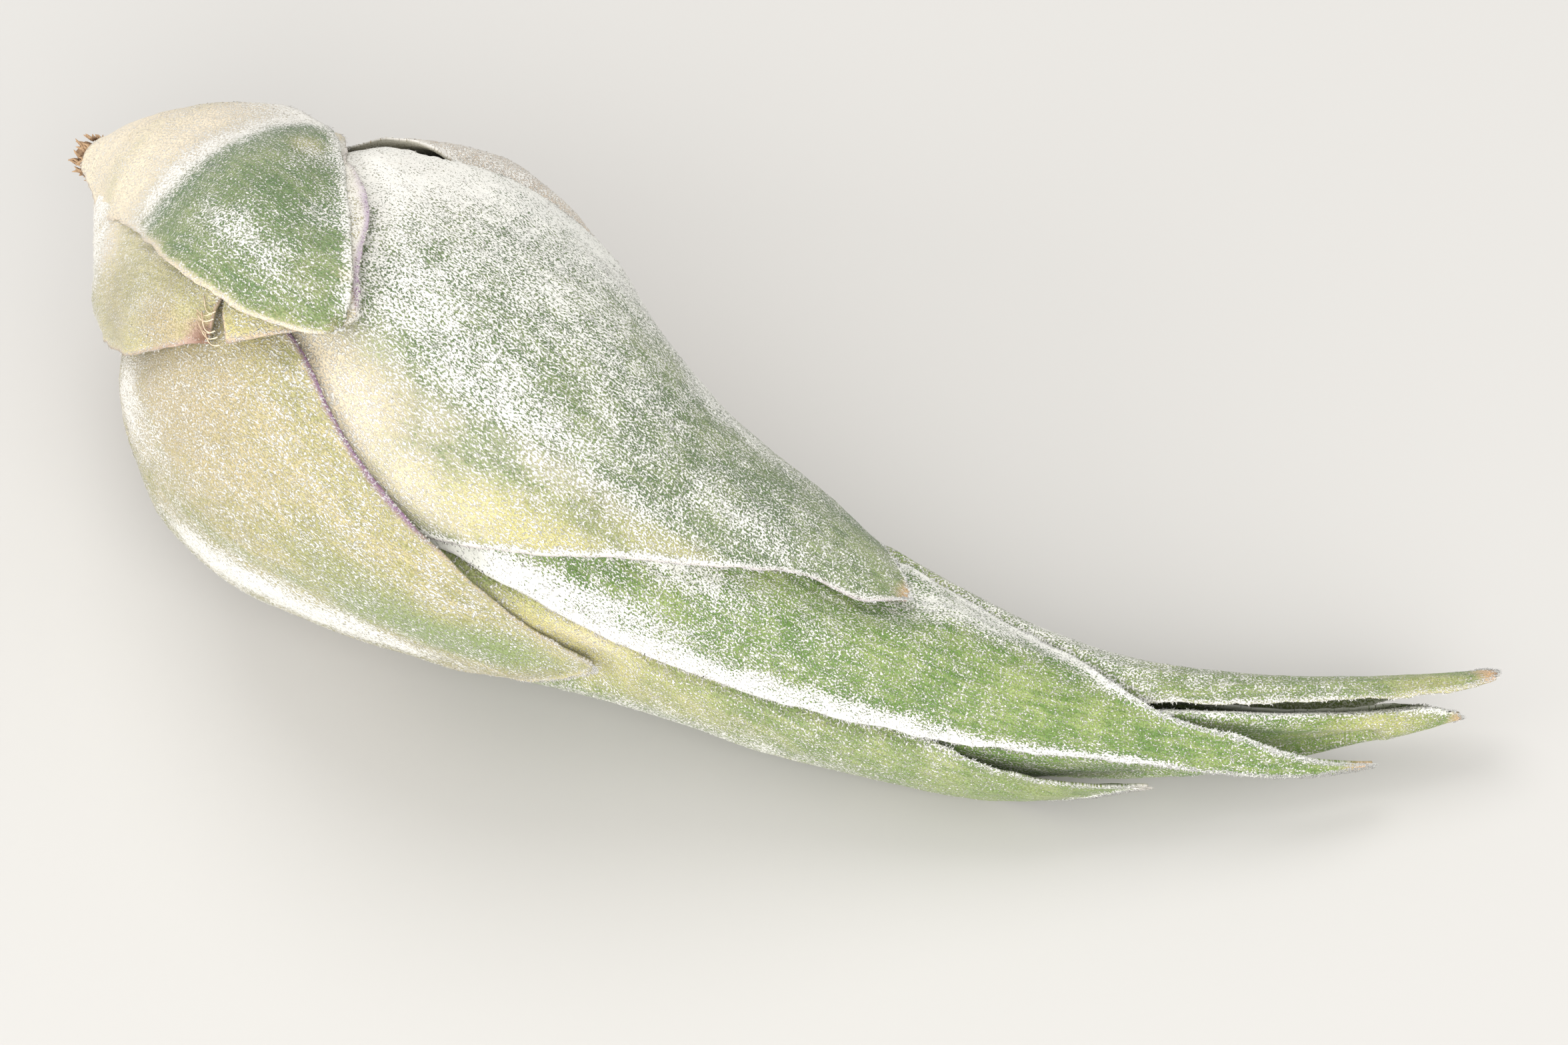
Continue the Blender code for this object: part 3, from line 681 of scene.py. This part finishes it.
skinLook = {
    "tone": (0.41, 0.61),                     # from the dark to the light green of a leaf
    # under: dark olive for the leaves' inner faces, painted shade for their shaded insides
    "speck": (0.54, 0.52, 0.38), "under": (0.11, 0.13, 0.03),
    "grain": 4.3, "speckSize": 5.6,           # how fine
    "fleckLimit": 0.628, "feltGain": 0.29,    # bare leaf, and how much felt lowers it
    "bare": 0.55, "felted": 0.35,             # roughness, and what felt adds
    "sheen": 0.12, "specular": 0.35, "bump": 0.22,
}
tintColours = {
    "green": (0.25, 0.33, 0.14), "tan": (0.52, 0.43, 0.27), "peach": (0.74, 0.46, 0.27),
    "yellow": (0.68, 0.61, 0.28), "cream": (0.87, 0.74, 0.56), "rose": (0.46, 0.29, 0.25),
    # dark is painted shade: a deep shadowed green
    "plum": (0.22, 0.085, 0.26), "brown": (0.20, 0.10, 0.05), "dark": (0.05, 0.08, 0.02),
    "felt": (0.77, 0.755, 0.71),
}


def leafFinish(name):
    leaf = leaves[name]
    f = Finish(name + "Skin")
    s = f.attribute("station") + leaf["seed"] * 7.3
    x = f.attribute("across")
    flat = f.vector(s, x, 0.0)
    drawn = f.vector(s * 0.22, x * 1.6, 0.0)      # veins run from base to tip
    hair = f.vector(s * 0.85, x * 1.1, 3.0)
    veins = f.noise(drawn, 1.0, 4.0, 0.6, 0.3)
    broad = f.noise(flat, 0.13, 3.0)
    patch = f.noise(flat, 0.55, 4.0, 0.65, 0.6)
    grain = f.noise(hair, skinLook["grain"], 2.0, 0.65, 0.2)
    tone = (veins * 0.32 + broad * 0.30 + patch * 0.20 + grain * 0.18).step(*skinLook["tone"])
    colour = f.mix(leaf["dark"], leaf["light"], tone)
    under = f.attribute("under")
    clump = f.noise(flat, 0.27, 2.0, 0.5, 1.0)
    height = grain * 0.70 + patch * 0.16 + clump * 0.10 + veins * 0.05
    # each tint is mixed in here; the dark tint is painted shade
    for tint in tints[1:]:
        amount = (f.attribute(tint) + (grain - 0.5) * 0.7 + (patch - 0.5) * 0.45).step(0.12, 0.88)
        near = f.attribute(tint).step(0.0, 0.12)
        colour = f.mix(colour, tintColours[tint], amount * near * 0.92)
    specks = f.noise(hair, skinLook["speckSize"], 2.0, 0.7).step(0.60, 0.40)
    specks = specks * (0.85 - f.attribute("cream") * 0.7)
    colour = f.mix(colour, skinLook["speck"], specks, "MULTIPLY")
    # painted shade: inner faces mixed towards dark olive; fewer felt flecks inside is the leaves' own
    inside = f.mix(colour, skinLook["under"], under * 0.6)
    limit = skinLook["fleckLimit"] - f.attribute("felt") * skinLook["feltGain"]
    flecks = (height - limit).step(-0.03, 0.06) * (1 - under * 0.5)
    flecks = flecks * (1 - f.attribute("plum") * 0.6) * (1 - f.attribute("peach") * 0.8)
    colour = f.mix(inside, tintColours["felt"], flecks * 0.88)
    f.set("Base Color", colour)
    f.set("Roughness", skinLook["bare"] + flecks * skinLook["felted"])
    f.set("Sheen Weight", skinLook["sheen"])
    f.set("Sheen Roughness", 0.5)
    f.set("Specular IOR Level", skinLook["specular"])
    f.bump(flecks * 0.5 + grain * 0.4 + veins * 0.5, skinLook["bump"])
    return f.made


def feltFinish():
    f = Finish("silverScales")
    shade = f.attribute("shade")
    cool = f.mix(*felt["cool"], shade)
    f.set("Base Color", f.mix(cool, felt["warm"], f.attribute("warm") * 0.8))
    f.set("Roughness", 0.65 + shade * 0.2)
    f.set("Sheen Weight", 0.2)
    return f.made


scales = feltFinish()
for name in leaves:
    grid = leafGrid(name)
    skin = buildLeaf(name, grid, leafFinish(name))
    coat = buildFelt(name, grid, scales)
    print(name, len(skin.data.polygons), "faces,", coat, "scales")


def tubes(runs, radii, sides=5):  # closed tapering strands through runs of points
    verts, faces, uv, share = [], [], [], []
    for run, radius in zip(runs, radii):
        run = np.array(run)
        way = np.gradient(run, axis=0)
        way /= np.linalg.norm(way, axis=1)[:, None]
        side = np.cross(way, np.array([0.3, 0.5, 0.8]))
        side /= np.linalg.norm(side, axis=1)[:, None]
        across = np.cross(way, side)
        turn = np.linspace(0, 2 * math.pi, sides, endpoint=False)
        ring = np.cos(turn)[None, :, None] * side[:, None] + np.sin(turn)[None, :, None] * across[:, None]
        ends = np.array(radius)[:, None, None]
        base = sum(len(v) for v in verts)
        verts.append((run[:, None] + ring * ends).reshape(-1, 3))
        last = len(run) - 1
        for k in range(last):
            for j in range(sides):
                n = (j + 1) % sides
                a, b = base + k * sides + j, base + k * sides + n
                faces.append((a, b, b + sides))
                faces.append((a, b + sides, a + sides))
        for j in range(1, sides - 1):
            faces.append((base, base + j + 1, base + j))
            faces.append((base + last * sides, base + last * sides + j, base + last * sides + j + 1))
        share.append(np.repeat(np.linspace(0, 1, len(run)), sides))
    return np.concatenate(verts), np.array(faces), np.concatenate(share)


def strandObject(node, runs, radii, finish):
    verts, faces, share = tubes(runs, radii)
    rng = np.random.default_rng(len(verts))
    uv = np.stack([share[faces] * 0.9 + 0.03, np.tile([0.2, 0.2, 0.4], (len(faces), 1))
                   + rng.uniform(0, 0.5, (len(faces), 1))], -1)
    thing = meshObject(node + "_fibres", node, verts, faces, uv.reshape(-1, 2), {"share": share}, finish)
    shadeSmooth(thing)


def fibreFinish(name, dark, light):
    f = Finish(name)
    spot = f.node("ShaderNodeTexCoord", {}, {}, "Object")
    grain = f.noise(spot, 1800.0, 3.0)
    share = f.attribute("share")
    f.set("Base Color", f.mix(dark, light, (grain + share * 0.4).step(0.35, 0.85)))
    f.set("Roughness", 0.75 + grain * 0.2)
    f.bump(grain, 0.1)
    return f.made


# stops: station and radius
stem = {
    "stops": [(-0.7, 1.3), (-0.2, 1.9), (0.5, 2.1), (3, 2.3), (6, 2.6), (10, 2.9)],
    "core": 34, "cell": 0.25, "fibres": 70, "long": 1.15, "joints": 5, "seed": 71,
    "dark": (0.16, 0.085, 0.04), "light": (0.46, 0.30, 0.17),
}


def buildStem():
    rng = np.random.default_rng(stem["seed"])
    rows = stem["stops"]
    core = [rows[0][0] + stem["cell"] * k for k in range(-1, stem["core"])]
    runs = [[place(np.array(at), np.array(0.0), np.array(0.0)) + shift for at in core]]
    radii = [[0.05] + [max(0.3, 0.8 * float(table(rows, 1, at))) for at in core[1:]]]
    for k in range(stem["fibres"]):
        around = rng.uniform(0, 360)
        begin = rng.uniform(0.6, 3.5)
        length = stem["long"] * rng.uniform(0.5, 1.3)
        flare = rng.uniform(-0.1, 0.7)
        bend = rng.normal(0, 9)
        run, radius = [], []
        for j in range(stem["joints"] + 1):
            u = j / stem["joints"]
            at = begin - length * j / stem["joints"]
            out = float(table(rows, 1, begin)) + 0.12 + flare * u ** 2 * 0.8
            run.append(place(np.array(at), np.array(around + bend * u ** 2), np.array(out)) + shift)
            radius.append(0.22 * (1 - u) ** 0.6 + 0.03)
        runs.append(run)
        radii.append(radius)
    finish = fibreFinish("dryStem", stem["dark"], stem["light"])
    strandObject("stem_base", runs, radii, finish)


tearFibres = {
    "count": 7, "thick": 0.075, "wide": 1.9, "joints": 6, "seed": 73,
    "dark": (0.42, 0.28, 0.17), "light": (0.80, 0.68, 0.50),
}


def buildTearFibres():  # what is left of the skin across the tear
    rng = np.random.default_rng(tearFibres["seed"])
    tear = helmetLeaf["tear"]
    runs, radii = [], []
    for k in range(tearFibres["count"]):
        inside = tear["deep"] * (k + 0.6) / tearFibres["count"] * 0.9
        middle = tear["at"] - tear["lean"] * inside * math.exp(-(inside / 16) ** 2)
        edge = margins("helmet_leaf", np.array([middle]))[1][0] - inside
        run, radius = [], []
        skew = rng.uniform(-2.5, 2.5)
        for j in range(tearFibres["joints"] + 1):
            u = j / tearFibres["joints"]
            s = np.array(middle + (u - 0.5) * tearFibres["wide"])
            angle = np.array(edge + skew * (u - 0.5) + 1.2 * math.sin(math.pi * u))
            high = reach("helmet_leaf", s, angle) - 0.25 * math.sin(math.pi * u)
            run.append(place(s, angle, high) + shift)
            radius.append(tearFibres["thick"] * (0.7 + 0.8 * abs(u - 0.5)))
        runs.append(run)
        radii.append(radius)
    finish = fibreFinish("driedEdge", tearFibres["dark"], tearFibres["light"])
    strandObject("helmet_leaf", runs, radii, finish)


buildStem()
buildTearFibres()
print("stem and tear fibres made")

# floor, light and camera; view sizes in mm, lights in m
studio = {
    "elevation": 50, "distance": 500, "lens": 101.1, "sensor": 36, "target": (0, 0, 15),
    "floor": 9, "paper": (0.55, 0.535, 0.51, 1), "glow": 0.79,
    "lights": [("key", (-0.3, 0.6, 1.2), 0.9, 7), ("front", (0.2, -1.0, 0.55), 1.2, 14),
               ("left", (-1.0, -0.6, 0.3), 1.0, 8)],  # name, place, size, watts
}
wide = studio["floor"]
floor = addObject("floor", bpy.data.meshes.new("floor"))
floor.data.from_pydata([(-wide, -wide, 0), (wide, -wide, 0), (wide, wide, 0), (-wide, wide, 0)],
                       [], [(0, 1, 2, 3)])
paper = Finish("palePaper")
paper.set("Base Color", studio["paper"])
paper.set("Roughness", 0.9)
floor.data.materials.append(paper.made)
floor.location.z = cadBox[0][2]

target = (np.array(studio["target"]) + shift) * mm
lean = math.radians(studio["elevation"])
camera = addObject("camera", bpy.data.cameras.new("camera"))
camera.data.lens = studio["lens"]
camera.data.sensor_width = studio["sensor"]
away = np.array([0, -math.cos(lean), math.sin(lean)]) * studio["distance"] * mm
camera.location = Vector(target + away)
camera.rotation_euler = (math.radians(90) - lean, 0, 0)
bpy.context.scene.camera = camera

for name, spot, size, watts in studio["lights"]:
    lamp = addObject(name, bpy.data.lights.new(name, "AREA"))
    lamp.data.shape = "DISK"
    lamp.data.size = size
    lamp.data.energy = watts
    lamp.location = Vector(spot)
    lamp.rotation_euler = (Vector(target) - Vector(spot)).to_track_quat("-Z", "Y").to_euler()

world = bpy.data.worlds.new("studio")
world.use_nodes = True
background = world.node_tree.nodes["Background"]
background.inputs["Color"].default_value = (1, 1, 1, 1)
background.inputs["Strength"].default_value = studio["glow"]
bpy.context.scene.world = world
bpy.context.scene.view_settings.view_transform = "Standard"
print("studio ready")
